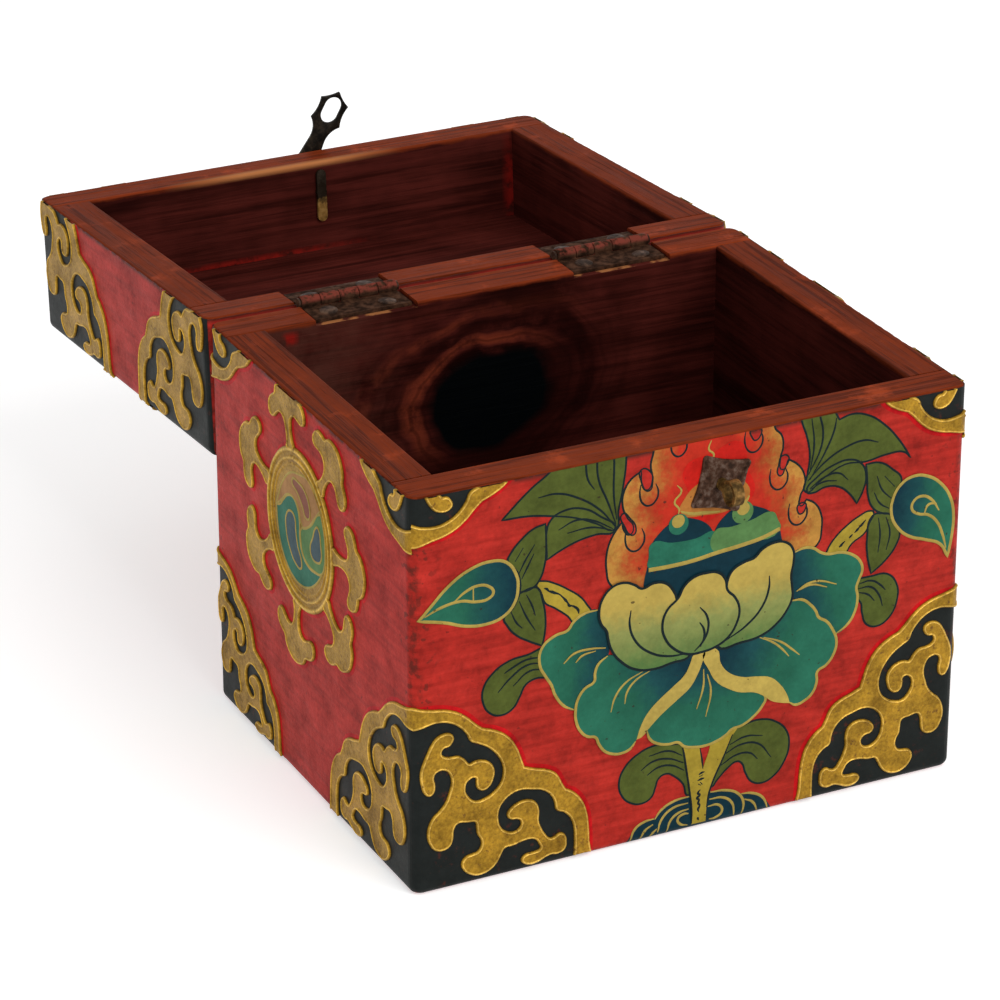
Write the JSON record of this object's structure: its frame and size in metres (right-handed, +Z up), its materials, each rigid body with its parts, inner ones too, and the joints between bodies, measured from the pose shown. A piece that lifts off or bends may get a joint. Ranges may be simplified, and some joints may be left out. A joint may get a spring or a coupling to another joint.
{
  "type": "painted wooden box with hinged lid",
  "caption": "Small wooden chest painted with a lotus, flames and gilt cloud corners, with butt hinges, a lid that folds right back, and a hasp that closes over a staple.",
  "frame": {"origin": "on the floor under the middle of the box, without the open lid", "axes": "+Z up, +X to the right along the front, +Y to the back, where the open lid lies"},
  "size_m": [0.14, 0.2379, 0.105],
  "materials": {
    "painted_wood": "gesso, red paint and varnish outside, dark stained wood inside",
    "nail_steel": "plain wire",
    "hinge_iron": "old, browned",
    "hinge_nail_steel": "dulled",
    "clasp_iron": "rusty brown",
    "brass": "old, worn bright"
  },
  "bodies": {
    "box": {"front_board": "painted_wood", "back_board": "painted_wood", "left_board": "painted_wood", "right_board": "painted_wood", "base_board": "painted_wood", "wall_nails": "nail_steel", "base_nails": "nail_steel", "left_hinge_box_leaf": "hinge_iron", "right_hinge_box_leaf": "hinge_iron", "left_hinge_pin": "hinge_iron", "right_hinge_pin": "hinge_iron", "box_hinge_nails": "hinge_nail_steel", "lock_plate": "clasp_iron", "lock_staple": "brass"},
    "lid": {"lid_front_board": "painted_wood", "lid_back_board": "painted_wood", "lid_left_board": "painted_wood", "lid_right_board": "painted_wood", "lid_top_board": "painted_wood", "lid_wall_nails": "nail_steel", "lid_top_nails": "nail_steel", "left_hinge_lid_leaf": "hinge_iron", "right_hinge_lid_leaf": "hinge_iron", "lid_hinge_nails": "hinge_nail_steel", "hasp_plate": "clasp_iron"},
    "eye": {"hasp_eye": "brass"},
    "hasp": {"hasp": "clasp_iron"}
  },
  "joints": [
    {"name": "lid_hinge", "type": "hinge", "parent": "box", "child": "lid", "pos_m": [0, 0.05625, 0.0982], "axis": [1, 0, 0], "range_deg": [0, 183.6]},
    {"name": "eye_sway", "type": "hinge", "parent": "lid", "child": "eye", "pos_m": [0.004, 0.16676, 0.08302], "axis": [0, 0.998, -0.0629], "range_deg": [-55, 10]},
    {"name": "hasp_swing", "type": "hinge", "parent": "eye", "child": "hasp", "pos_m": [0.004, 0.17086, 0.08277], "axis": [-0.8829, 0.0295, 0.4685], "range_deg": [0, 175]}
  ]
}
